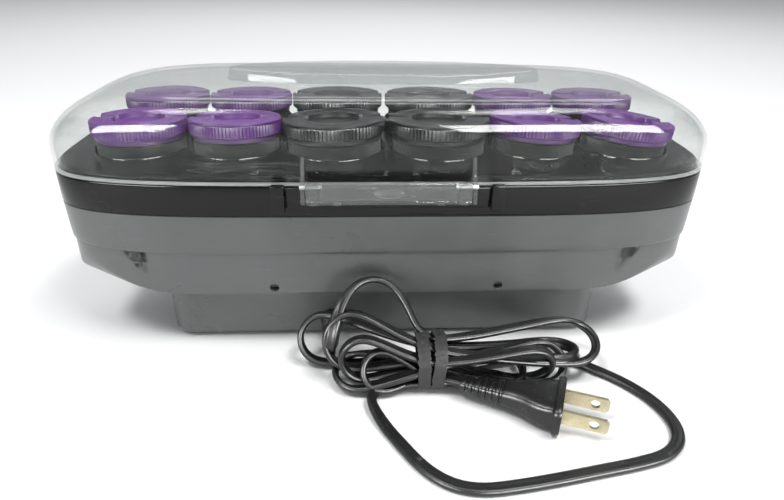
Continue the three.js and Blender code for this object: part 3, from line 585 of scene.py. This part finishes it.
# ---------- grey case ----------
RIM = (147.4, 48.8)
RIM_POWER = 4.2
BELLY_Z = 29
LEDGE_Z = 50
BAND_Z = 68.3
SEAM_Z = 82
FLOOR_Z = 85
COLLAR_Z = 92
CORNER_TURN = math.radians(34)
CORNER_SOFTNESS = 240  # the higher, the crisper the edge round the front panel
PEDESTAL = (103.5, 38, 11)
QUARTERS = [(1, 1), (1, -1), (-1, 1), (-1, -1)]


def carve(made, cutters):
    """Takes solid cutters out of a piece."""
    for cutter in cutters:
        step = made.modifiers.new("cut", "BOOLEAN")
        step.object = cutter
        step.solver = "EXACT"
    kept = bpy.data.meshes.new_from_object(made.evaluated_get(bpy.context.evaluated_depsgraph_get()))
    made.modifiers.clear()
    made.data = kept
    for cutter in cutters:
        bpy.data.objects.remove(cutter)
    kept.shade_smooth()
    kept.set_sharp_from_angle(angle=math.radians(30))


def cutter(rods):
    """One loose object of round cutters: (matrix, radius, from, to) each."""
    bm = bmesh.new()
    for matrix, r, z0, z1 in rods:
        turned(bm, [(0, z0), (r, z0), (r, z1), (0, z1)], 72, matrix)
    bmesh.ops.recalc_face_normals(bm, faces=bm.faces)
    bmesh.ops.scale(bm, vec=(MM, MM, MM), verts=bm.verts)
    mesh = bpy.data.meshes.new("cutter")
    bm.to_mesh(mesh)
    bm.free()
    made = bpy.data.objects.new("cutter", mesh)
    bpy.context.collection.objects.link(made)
    return made


def rod_x(bm, x0, x1, y, z, r, sides=40):
    e = min(0.3, r * 0.2)
    length = x1 - x0
    turned(bm, [(0, 0), (r - e, 0), (r, e), (r, length - e), (r - e, length), (0, length)], sides, along_x(x0, y, z))


def quarter_drop(depth, height, below):
    """How far a round edge of that depth and height has come in, this far below its start."""
    share = min(max(below / height, 0), 1)
    return depth * (1 - math.sqrt(1 - share * share))


def make_housing():
    band = [(RIM[0] - 0.5, RIM[1] - 0.9, BAND_Z), (RIM[0] - 0.1, RIM[1] - 0.5, BAND_Z - 0.3)]
    for i in range(7):
        band.append((RIM[0] - 0.05 * i, RIM[1] - 0.5 - 0.15 * i, BAND_Z - 0.8 - (BAND_Z - LEDGE_Z - 2) * i / 6))
    band += [(146.9, 47.25, LEDGE_Z + 0.5), (146.6, 46.95, LEDGE_Z + 0.1), (146.2, 46.7, LEDGE_Z - 0.1)]
    heights = [LEDGE_Z - 0.4 - i for i in range(19)] + [30.6, 30.1, 29.7, 29.35, 29.1, 29]
    inner = [(z + 1.8, 1.8) for z in reversed(heights)]
    # (height, how far inside the outer skin, half sizes where it is the plain band)
    rings = [(z, inset, None) for z, inset in inner] + [(LEDGE_Z + 3, 2.6, None), (BAND_Z, 0, (RIM[0] - 1.9, RIM[1] - 2.3))]
    rings += [(z, 0, (a, b)) for a, b, z in band] + [(z, 0, None) for z in heights]

    def spot(t, level):
        z, inset, half = rings[level]
        if half:
            x, y = squircle(half[0], half[1], RIM_POWER, t)
            return (x, y + SHIFT_Y, z)
        x, y = squircle(RIM[0] - 1, RIM[1] - 2.2, RIM_POWER, t)
        z_out = z - inset if z < LEDGE_Z + 1 else z
        end = RIM[0] + 0.2 - quarter_drop(15, 15, 44 - z_out) - inset
        reach = 105.9 - quarter_drop(14.4, 24, 53 - z_out) - inset
        corner = abs(x) * math.sin(CORNER_TURN) + abs(y) * math.cos(CORNER_TURN)
        front = RIM[1] - 1.85 - quarter_drop(1.6, 1.6, 30.6 - z_out) - inset
        p = CORNER_SOFTNESS
        k = (1 + (abs(x) / end) ** p + (corner / reach) ** p + (abs(y) / front) ** p) ** (-1 / p)
        return (x * k, y * k + SHIFT_Y, z)

    bm = bmesh.new()
    lofted(bm, 288, len(rings), spot)
    made = piece("case_shell", bm, GREY, "case", ("base_housing",))
    pockets = [(Matrix.Translation((x, -42, 32.4)) @ Matrix.Rotation(math.pi / 2, 4, "X"), 2.1, -1, 9) for x in (-51, 51)]
    carve(made, [cutter(pockets)])
    bm = bmesh.new()
    for x in (-51, 51):
        block(bm, x - 4, x + 4, -43.6, -40.6, 30.9, 37, 0.4)
    piece("screw_pocket_backs", bm, GREY, "case", ())


def make_pedestal():
    half_x, half_y, r = PEDESTAL
    z0, z1 = 1.5, BELLY_Z - 0.3
    bm = bmesh.new()
    bmesh.ops.create_cube(bm, size=1)
    bmesh.ops.scale(bm, vec=(half_x * 2, half_y * 2, z1 - z0), verts=bm.verts)
    move(bm, 0, SHIFT_Y, (z0 + z1) / 2)
    upright = [e for e in bm.edges if abs(e.verts[0].co.z - e.verts[1].co.z) > 1]
    bmesh.ops.bevel(bm, geom=upright, offset=r, segments=14, profile=0.5, affect="EDGES", material=-1)
    low = [e for e in bm.edges if max(v.co.z for v in e.verts) < z0 + 0.1]
    bmesh.ops.bevel(bm, geom=low, offset=3, segments=6, profile=0.5, affect="EDGES", material=-1)
    lid_face = [f for f in bm.faces if min(v.co.z for v in f.verts) > z1 - 0.1]
    bmesh.ops.delete(bm, geom=lid_face, context="FACES_ONLY")
    bmesh.ops.solidify(bm, geom=list(bm.faces), thickness=1.8)
    made = piece("case_pedestal", bm, GREY, "case", ("pedestal",), clean=False)
    rods = [(Matrix.Translation((x * 72, y * 10 + SHIFT_Y, 0)), 3.6, -1, 5) for x, y in QUARTERS]
    rods.append((Matrix.Translation((-26, -30, 10)) @ Matrix.Rotation(math.pi / 2, 4, "X"), 4.2, 0, 10))
    carve(made, [cutter(rods)])


make_housing()
make_pedestal()


# ---------- rollers and tray ----------
LARGE = (22.2, 20.3)  # radius of a cap and of its barrel
SMALL = (19.85, 18.1)
PIVOT_Z = 90
CAP_SIDES = 168
RECESS_SHARE = 0.54
JOINTS = {j["name"]: j for j in frame["record"]["behaviour"]["joints"]}
ROLLERS = []
for row in ("front", "back"):
    for column in range(1, 7):
        joint = JOINTS[f"spin_{row}_{column}"]
        turn = Vector((0, 0, 1)).rotation_difference(Vector(joint["axis"])).to_matrix().to_4x4()
        at = Matrix.Translation(Vector(joint["pos_m"]) / MM)
        ROLLERS.append((f"{row}_{column}", LARGE if column in (3, 4) else SMALL, at @ turn))


def make_cap(name, size, matrix):
    cap, barrel = size
    recess = cap * RECESS_SHARE
    neck = barrel - 2.6
    profile = [(0, 2.8), (neck, 2.8), (neck, 5.8), (barrel, 5.8), (barrel + 0.3, 6), (barrel + 0.3, 7.5),
               (barrel + 0.7, 7.9), (cap - 0.6, 8.05), (cap - 0.2, 8.2), (cap, 8.5), (cap, 8.8), (cap, 12.5),
               (cap - 0.3, 12.75), (cap - 0.35, 12.95), (cap - 0.05, 13.15), (cap - 0.02, 13.45), (cap - 0.25, 13.8),
               (cap - 0.8, 14), (cap - 1.5, 13.95), (cap - 2, 13.72), (recess + 1.8, 13.7), (recess + 1.2, 13.9),
               (recess + 0.6, 13.95), (recess + 0.1, 13.75), (recess - 0.2, 13.3), (recess - 0.7, 11.9),
               (recess - 1.2, 11.5), (recess - 2, 11.4), (3.4, 11.4), (3, 11.7), (2.4, 11.8), (0, 11.8)]
    bm = bmesh.new()
    for v in turned(bm, profile, CAP_SIDES):
        r = math.hypot(v.co.x, v.co.y)
        step = round(math.atan2(v.co.y, v.co.x) / (2 * math.pi) * CAP_SIDES) % CAP_SIDES
        if r > cap - 0.05 and 8.4 < v.co.z < 12.6 and step % 2:
            v.co.x *= (cap - 0.42) / cap
            v.co.y *= (cap - 0.42) / cap
        if r > recess - 0.5 and v.co.z > 12.4 and (2 <= step <= 9 or CAP_SIDES / 2 - 9 <= step <= CAP_SIDES / 2 - 2):
            v.co.z = 12.35 + (v.co.z - 12.4) * 0.06
    bmesh.ops.transform(bm, matrix=matrix, verts=bm.verts)
    large = size is LARGE
    piece(f"cap_{name}", bm, CAP_BLACK if large else CAP_PURPLE, f"roller_{name}", (f"roller_cap_{name}",),
          24)


def make_barrel(name, size, matrix, rng):
    barrel = size[1]
    inside = barrel - 2.3
    profile = [(inside, 5.2), (barrel - 0.5, 5.4), (barrel - 0.1, 5.1)]
    profile += [(barrel, 4.4 - 0.62 * i) for i in range(24)] + [(barrel, -20 - 4 * i) for i in range(4)]
    profile += [(barrel - 0.1, -36), (barrel - 0.5, -36.3), (inside, -36.3), (inside, 5.2)]
    bm = bmesh.new()
    for v in turned(bm, profile, 120):
        r = math.hypot(v.co.x, v.co.y)
        if r > barrel - 0.2:
            k = 1 + rng.uniform(-0.16, 0.16) / r
            v.co.x *= k
            v.co.y *= k
            v.co.z += rng.uniform(-0.1, 0.1)
    bmesh.ops.transform(bm, matrix=matrix, verts=bm.verts)
    piece(f"barrel_{name}", bm, FLOCK, f"roller_{name}", (f"roller_barrel_{name}",), 60)


def make_tray():
    a, b = RIM
    rings = [(a - 1.8, b - 1.8, FLOOR_Z - 2), (a - 1.8, b - 1.8, BAND_Z + 0.3), (a - 0.4, b - 0.4, BAND_Z + 0.3),
             (a - 0.1, b - 0.1, BAND_Z + 0.5), (a, b, BAND_Z + 0.9), (a, b, SEAM_Z - 0.5), (a - 0.12, b - 0.12, SEAM_Z - 0.15),
             (a - 0.45, b - 0.45, SEAM_Z), (a - 2.3, b - 2.3, SEAM_Z), (a - 2.5, b - 2.5, SEAM_Z + 0.2),
             (a - 2.5, b - 2.5, 85.6), (a - 2.7, b - 2.7, 85.9), (a - 3, b - 3, 86), (a - 3.7, b - 3.7, 86),
             (a - 4, b - 4, 85.8), (a - 4.2, b - 4.2, FLOOR_Z + 0.3), (a - 4.6, b - 4.6, FLOOR_Z)]

    def spot(t, level):
        x, y = squircle(rings[level][0], rings[level][1], RIM_POWER, t)
        return (x, y + SHIFT_Y, rings[level][2])

    bm = bmesh.new()
    lofted(bm, 240, len(rings), spot)
    made = piece("tray_floor", bm, GLOSS, "case", ("roller_tray",))
    holes = []
    for _, size, matrix in ROLLERS:
        x, y, _ = matrix.translation
        holes.append((Matrix.Translation((x, y, 0)), size[1] + 1.4, 70, 95))
    carve(made, [cutter(holes)])
    bm = bmesh.new()
    for _, size, matrix in ROLLERS:
        x, y, _ = matrix.translation
        r = size[1] + 1.4
        profile = [(r, 83.2), (r + 0.8, 83.2), (r + 0.8, 85.4), (r + 0.72, 91.4), (r + 0.55, 91.85), (r + 0.35, 92),
                   (r + 0.15, 91.9), (r, 91.6), (r, 83.2)]
        turned(bm, profile, 120, Matrix.Translation((x, y, 0)))
    piece("tray_collars", bm, GLOSS, "case", ())
    bm = bmesh.new()
    pad_y = -b - 1.2 + SHIFT_Y
    block(bm, -48.5, 48.5, pad_y, -b + 1 + SHIFT_Y, SEAM_Z - 9, SEAM_Z - 0.05, 0.35)
    block(bm, -30, 30, pad_y - 0.7, pad_y + 0.2, SEAM_Z - 3, SEAM_Z - 1.6, 0.25)
    for x0 in (-48.5, 43):
        block(bm, x0, x0 + 5.5, pad_y - 2.4, pad_y + 0.5, SEAM_Z - 10, SEAM_Z + 1.5, 0.5)
    piece("tray_catch_pad", bm, GLOSS, "case", ())
    bm = bmesh.new()
    y, z = HINGE
    for middle in (-70, 70):
        for x0 in (middle - 12.3, middle + 8.3):
            drawn(bm, [(b - 1.5 + SHIFT_Y, SEAM_Z - 9), (b + 1 + SHIFT_Y, SEAM_Z - 9), (y + 2.9, z - 2), (y + 2.9, z),
                       (y - 2.9, z), (b + 0.6 + SHIFT_Y, SEAM_Z - 0.2), (b - 1.5 + SHIFT_Y, SEAM_Z - 0.2)], x0, x0 + 4, 0.3)
            rod_x(bm, x0, x0 + 4, y, z, 3)
    piece("tray_hinge_lugs", bm, GLOSS, "case", ())


HINGE = (53.4 + SHIFT_Y, 84.2)
LATCH = (-53.6 + SHIFT_Y, 83.8)
for name, size, matrix in ROLLERS:
    make_cap(name, size, matrix)
    make_barrel(name, size, matrix, random.Random(name))
make_tray()


# ---------- lid ----------
CROWN_Z = 118
LID_END = (RIM[0], 40, 90, 115.3)  # half size, run of the shoulder, its foot and its top
LID_SIDE = (RIM[1], 11, 101.6, 115.8)
LID_FLAT = 0.735
LID_BLEND = 3.6


def lid_height(share, profile):
    half, run, foot, shoulder = profile
    flat = half - run
    at = half * share
    if at <= flat:
        return CROWN_Z - (CROWN_Z - shoulder) * (at / flat) ** 2
    return foot + (shoulder - foot) * math.sqrt(max(0, 1 - ((at - flat) / run) ** 2))


def lid_spot(t, share):
    x, y = squircle(RIM[0] * share, RIM[1] * share, RIM_POWER - 0.3 * (1 - share), t)
    end, side = lid_height(share, LID_END), lid_height(share, LID_SIDE)
    return (x, y, side + (end - side) * abs(math.cos(t)) ** LID_BLEND)


def make_lid():
    bottom = SEAM_Z + 0.3
    shares = [1 - (1 - LID_FLAT) * (1 - math.cos(math.pi / 2 * i / 24)) for i in range(25)]
    shares += [LID_FLAT - 0.065 * i for i in range(1, 11)] + [0.04]

    def spot(t, level):
        x, y, z = lid_spot(t, shares[max(level - 4, 0)])
        if level < 4:
            inset = 0.35 if level == 0 else 0
            x -= math.copysign(inset, x)
            y -= math.copysign(inset, y)
            z = bottom + (z - bottom) * (0, 0.03, 0.35, 0.7)[level]
        return (x, y + SHIFT_Y, z)

    bm = bmesh.new()
    lofted(bm, 256, len(shares) + 4, spot)
    rim_face = min(bm.faces, key=lambda f: f.calc_center_median().z)
    bmesh.ops.delete(bm, geom=[rim_face], context="FACES_ONLY")
    bmesh.ops.recalc_face_normals(bm, faces=bm.faces)
    if max(bm.faces, key=lambda f: f.calc_center_median().z).normal.z < 0:
        bmesh.ops.reverse_faces(bm, faces=bm.faces)
    made = piece("lid_dome", bm, CLEAR, "lid", ("lid",), 40, clean=False)
    wall = made.modifiers.new("wall", "SOLIDIFY")
    wall.thickness = 0.0015
    wall.offset = -1


def make_oval():
    rings = [(71.6, 19.1, 117.4), (70.9, 18.4, 119), (70.4, 17.9, 120.2), (70, 17.5, 120.7), (69.5, 17, 120.92),
             (68.6, 16.1, 120.98), (60, 12, 121), (40, 7, 121), (15, 2, 121)]

    def spot(t, level):
        a, b, z = rings[level]
        x, y = a * math.cos(t), b * math.sin(t)
        return (x, y + SHIFT_Y, min(z, z - 3.2 * (x / 105) ** 2 * (level < 1)))

    bm = bmesh.new()
    lofted(bm, 200, len(rings), spot)
    piece("lid_oval", bm, CLEAR, "lid", (), 40)


def make_lid_fittings():
    bm = bmesh.new()
    back = -RIM[1] + 0.5 + SHIFT_Y
    y, z = LATCH
    outline = [(back, 95), (y + 2, 88), (y - 2.4, 86.2), (y - 2.4, 77), (-50.6 + SHIFT_Y, 77), (-50.6 + SHIFT_Y, 82.4),
               (back, 82.4)]
    for x0 in (-36, 34.4):
        drawn(bm, outline, x0, x0 + 1.6, 0.22)
    y, z = HINGE
    for middle in (-70, 70):
        drawn(bm, [(RIM[1] - 1 + SHIFT_Y, 82.4), (y, 82.4), (y, z + 2.9), (RIM[1] - 1 + SHIFT_Y, z + 2.9)],
              middle - 8, middle + 8, 0.3)
        rod_x(bm, middle - 8, middle + 8, y, z, 3)
    piece("lid_ears_and_knuckles", bm, CLEAR_BAR, "lid", (), 35)


def make_latch():
    y, z = LATCH
    front, low, high = y - 2, 76.6, 86
    bm = bmesh.new()
    block(bm, -34.1, 34.1, front + 1.1, y + 1.2, low + 0.9, high - 0.2, 0.4)
    block(bm, -34.1, 34.1, front, front + 2, high - 1.9, high, 0.55)
    block(bm, -34.1, 34.1, front, front + 2, low, low + 1.7, 0.5)
    for side in (-1, 1):
        x0, x1 = sorted((side * 28.6, side * 34.1))
        block(bm, x0, x1, front - 0.05, front + 2, low + 0.4, high - 0.4, 0.5)
        rod_x(bm, x0, x1, y, z, 2)
        for foot in (21.5, 31):
            block(bm, side * foot - 1.6, side * foot + 1.6, front - 0.35, front + 1.2, low - 0.1, low + 1.4, 0.3)
    block(bm, -30, 30, -51 + SHIFT_Y, -50.95 + SHIFT_Y + 0.35, low + 0.05, low + 1.3, 0.1)
    piece("latch_frame", bm, CLEAR_BAR, "latch", ("latch_bar",), 35)
    bm = bmesh.new()
    block(bm, -28.4, 28.4, front + 0.6, front + 1.3, low + 1.8, high - 2, 0.2)
    for i in range(93):
        x = -27.6 + 0.6 * i
        if abs(x) > 6.6:
            block(bm, x - 0.15, x + 0.15, front + 0.35, front + 0.75, low + 2.1, high - 2.3, 0.1, 1)

    def spot(t, level):
        share, depth = [(1, 0.9), (1, 0.25), (0.94, 0.05), (0.8, 0), (0.3, 0)][level]
        x, up = 6 * share * math.cos(t), 1.75 * share * math.sin(t)
        return (x, front + depth, (low + high) / 2 + up)

    lofted(bm, 48, 5, spot)
    piece("latch_grip", bm, GRIP, "latch", (), 35)


def make_lid_rim():
    """The lid's lower edge: a thin bead in a pale, hazy finish. It is a painted highlight standing in for the bright
    line along the cut edge of the clear plastic.
    """
    a, b = RIM
    rings = [(a - 1.4, b - 1.4, 82.3), (a - 0.3, b - 0.3, 82.3), (a, b, 82.5), (a + 0.12, b + 0.12, 83), (a, b, 83.5),
             (a - 1.4, b - 1.4, 83.5), (a - 1.4, b - 1.4, 82.3)]

    bm = bmesh.new()
    for v in turned(bm, [(10, 5 * i) for i in range(len(rings))], 240):
        half_x, half_y, z = rings[round(v.co.z / 5)]
        x, y = squircle(half_x, half_y, RIM_POWER, math.atan2(v.co.y, v.co.x))
        v.co = (x, y + SHIFT_Y, z)
    piece("lid_rim", bm, EDGE_PAINTED_HIGHLIGHT, "lid", (), 40)


make_lid()
make_lid_rim()
make_oval()
make_lid_fittings()
make_latch()

# ---------- studio ----------
def set_studio():
    bm = bmesh.new()
    bmesh.ops.create_grid(bm, x_segments=1, y_segments=1, size=30)
    mesh = bpy.data.meshes.new("studio_floor")
    bm.to_mesh(mesh)
    bm.free()
    mesh.materials.append(floor_finish())
    ground = bpy.data.objects.new("studio_floor", mesh)
    bpy.context.collection.objects.link(ground)
    world = bpy.data.worlds.new("studio")
    world.use_nodes = True
    world.node_tree.nodes["Background"].inputs["Color"].default_value = (0.9, 0.92, 0.95, 1)
    world.node_tree.nodes["Background"].inputs["Strength"].default_value = 0.42
    bpy.context.scene.world = world
    bpy.context.scene.view_settings.view_transform = "Standard"
    # name, place, size, power, and whether it only shows as a reflection
    for name, spot, size, power, gleam in [
            ("softbox_left", (-0.5, -0.28, 1.2), (0.34, 0.3), 8, False),
            ("softbox_right", (0.42, -0.28, 1.2), (0.62, 0.3), 12, False),
            ("window_back", (0.1, 1.3, 1.1), (1.6, 0.6), 8, False),
            ("panel_right", (0.95, -1.5, 0.62), (1.5, 0.62), 95, True),
            ("panel_left", (-1.3, -1.4, 0.62), (1.0, 0.6), 62, True)]:
        data = bpy.data.lights.new(name, "AREA")
        data.shape = "RECTANGLE"
        data.size, data.size_y = size
        data.energy = power
        light = bpy.data.objects.new(name, data)
        bpy.context.collection.objects.link(light)
        light.location = spot
        light.rotation_euler = (Vector((0, 0, 0.08)) - Vector(spot)).to_track_quat("-Z", "Y").to_euler()
        light.visible_diffuse = not gleam


set_studio()
